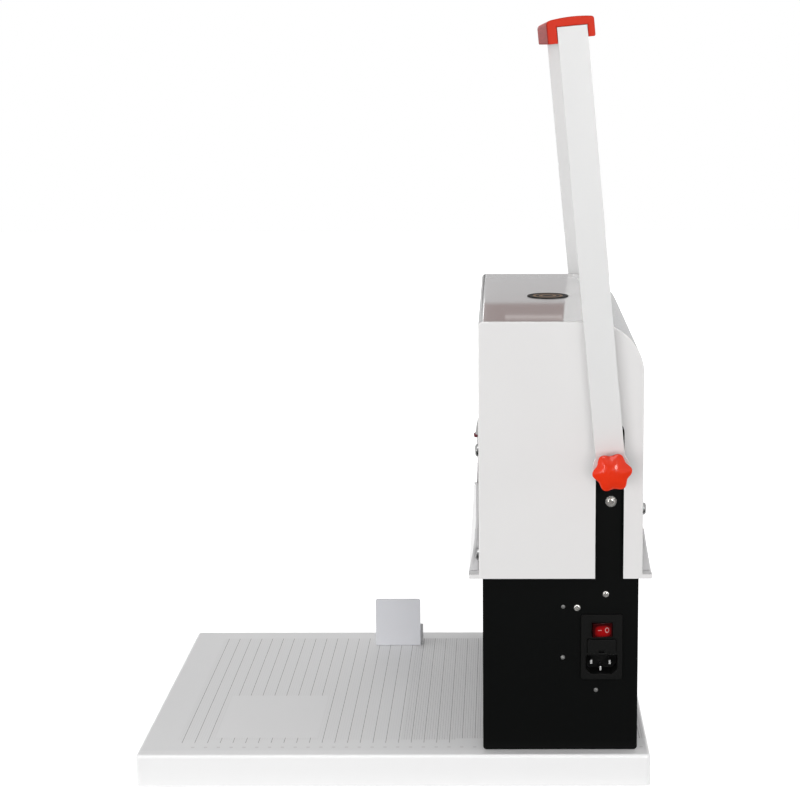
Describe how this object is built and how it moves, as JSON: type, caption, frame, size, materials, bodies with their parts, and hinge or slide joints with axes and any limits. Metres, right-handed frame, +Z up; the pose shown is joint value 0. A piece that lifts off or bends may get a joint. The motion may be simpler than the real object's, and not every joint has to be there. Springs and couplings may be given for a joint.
{
  "type": "archive binding machine",
  "caption": "Bench-top paper drilling machine: flat platform, covered head over an open paper throat, and a tall lever loop that lowers hollow drills.",
  "frame": {"origin": "middle of the footprint, on the surface that the feet stand on", "axes": "+X is the operator's right hand, -Y is the operator's side, +Z is up"},
  "size_m": [0.389, 0.4, 0.5904],
  "materials": {
    "white_paint": "smooth gloss powder coat",
    "grey_paint": "smooth satin paint",
    "deck_paint": "smooth satin powder coat with a printed grid",
    "black_paint": "satin black powder coat",
    "red_plastic": "moulded, slightly glossy",
    "dark_red_plastic": "moulded, glossy",
    "grey_plastic": "moulded, fine grain",
    "black_plastic": "moulded, fine grain",
    "rubber": "matt",
    "steel": "machined and lightly oiled",
    "spring_steel": "drawn wire",
    "aluminium": "machined casting",
    "bronze": "sintered, oily",
    "nylon": "turned",
    "magnet": "black coated magnet",
    "board": "lacquered circuit board",
    "badge": "dark disc with a raised gilt rim"
  },
  "bodies": {
    "frame": {"platform_tray": "deck_paint", "foot_front_left": "rubber", "foot_front_right": "rubber", "foot_rear_left": "rubber", "foot_rear_right": "rubber", "cutting_pad_left": "nylon", "cutting_pad_middle": "nylon", "cutting_pad_right": "nylon", "side_plate_left": "black_paint", "side_plate_right": "black_paint", "back_plate": "black_paint", "throat_panel": "black_paint", "back_fence": "aluminium", "head_beam": "steel", "guide_column_left": "steel", "guide_column_right": "steel", "return_spring_left": "spring_steel", "return_spring_right": "spring_steel", "control_board": "board", "cover_shell": "white_paint", "front_guard": "white_paint", "rear_guard": "white_paint", "badge_disc": "badge", "button_block": "grey_plastic", "inlet_module": "black_plastic", "shaft_bush_left": "bronze", "shaft_bush_right": "bronze"},
    "lever": {"lever_shaft": "steel", "lever_arm_left": "white_paint", "lever_arm_right": "white_paint", "lever_crossbar": "white_paint", "lever_grip": "red_plastic", "sector_gear_left": "steel", "sector_gear_right": "steel"},
    "knob_left": {"star_knob_left": "red_plastic"},
    "knob_right": {"star_knob_right": "red_plastic"},
    "carriage": {"drill_carriage": "aluminium", "carriage_lid": "aluminium", "drill_motor": "steel", "lift_rack_left": "steel", "lift_rack_right": "steel", "idler_axle_left": "steel", "idler_axle_right": "steel"},
    "drill_left": {"spindle_left": "steel", "chuck_nut_left": "steel", "drill_bit_left": "steel"},
    "drill_middle": {"spindle_middle": "steel", "chuck_nut_middle": "steel", "drill_bit_middle": "steel"},
    "drill_right": {"spindle_right": "steel", "chuck_nut_right": "steel", "drill_bit_right": "steel"},
    "idler_left": {"idler_gear_left": "steel"},
    "idler_right": {"idler_gear_right": "steel"},
    "button": {"start_button": "dark_red_plastic"},
    "rocker": {"power_rocker": "red_plastic"},
    "fuse": {"fuse_drawer": "black_plastic"},
    "side_stop": {"side_stop_plate": "grey_paint", "side_stop_magnet": "magnet"}
  },
  "joints": [
    {"name": "lever_swing", "type": "hinge", "parent": "frame", "child": "lever", "pos_m": [0, 0.167, 0.255], "axis": [1, 0, 0], "range_deg": [0, 105]},
    {"name": "carriage_slide", "type": "slide", "parent": "frame", "child": "carriage", "axis": [0, 0, -1], "range_m": [0, 0.055], "stiffness_N_per_m": 1440, "springref_m": -0.045, "deforming": ["return_spring_left", "return_spring_right"]},
    {"name": "drill_spin_middle", "type": "hinge", "parent": "carriage", "child": "drill_middle", "pos_m": [0, 0.114, 0.2], "axis": [0, 0, 1], "continuous": true},
    {"name": "drill_spin_left", "type": "hinge", "parent": "carriage", "child": "drill_left", "pos_m": [-0.08, 0.114, 0.2], "axis": [0, 0, 1], "continuous": true},
    {"name": "drill_spin_right", "type": "hinge", "parent": "carriage", "child": "drill_right", "pos_m": [0.08, 0.114, 0.2], "axis": [0, 0, 1], "continuous": true},
    {"name": "idler_spin_left", "type": "hinge", "parent": "carriage", "child": "idler_left", "pos_m": [-0.04, 0.114, 0.2], "axis": [0, 0, 1], "continuous": true},
    {"name": "idler_spin_right", "type": "hinge", "parent": "carriage", "child": "idler_right", "pos_m": [0.04, 0.114, 0.2], "axis": [0, 0, 1], "continuous": true},
    {"name": "knob_turn_left", "type": "hinge", "parent": "lever", "child": "knob_left", "pos_m": [-0.18, 0.167, 0.255], "axis": [-1, 0, 0], "range_deg": [0, 360]},
    {"name": "knob_turn_right", "type": "hinge", "parent": "lever", "child": "knob_right", "pos_m": [0.18, 0.167, 0.255], "axis": [1, 0, 0], "range_deg": [0, 360]},
    {"name": "button_press", "type": "slide", "parent": "frame", "child": "button", "axis": [0, 1, 0], "range_m": [0, 0.0015], "stiffness_N_per_m": 400, "springref_m": -0.001},
    {"name": "rocker_tilt", "type": "hinge", "parent": "frame", "child": "rocker", "pos_m": [0.1558, 0.1621, 0.1239], "axis": [0, 0, -1], "range_deg": [0, 16]},
    {"name": "fuse_slide", "type": "slide", "parent": "frame", "child": "fuse", "axis": [1, 0, 0], "range_m": [0, 0.012]},
    {"name": "stop_slide", "type": "slide", "parent": "frame", "child": "side_stop", "axis": [1, 0, 0], "range_m": [-0.02, 0.08]}
  ],
  "couplings": [
    {"joint": "carriage_slide", "follows": "lever_swing", "m_per_rad": 0.03},
    {"joint": "idler_spin_left", "follows": "drill_spin_middle", "ratio": -1},
    {"joint": "idler_spin_right", "follows": "drill_spin_middle", "ratio": -1},
    {"joint": "drill_spin_left", "follows": "drill_spin_middle", "ratio": 1},
    {"joint": "drill_spin_right", "follows": "drill_spin_middle", "ratio": 1}
  ]
}
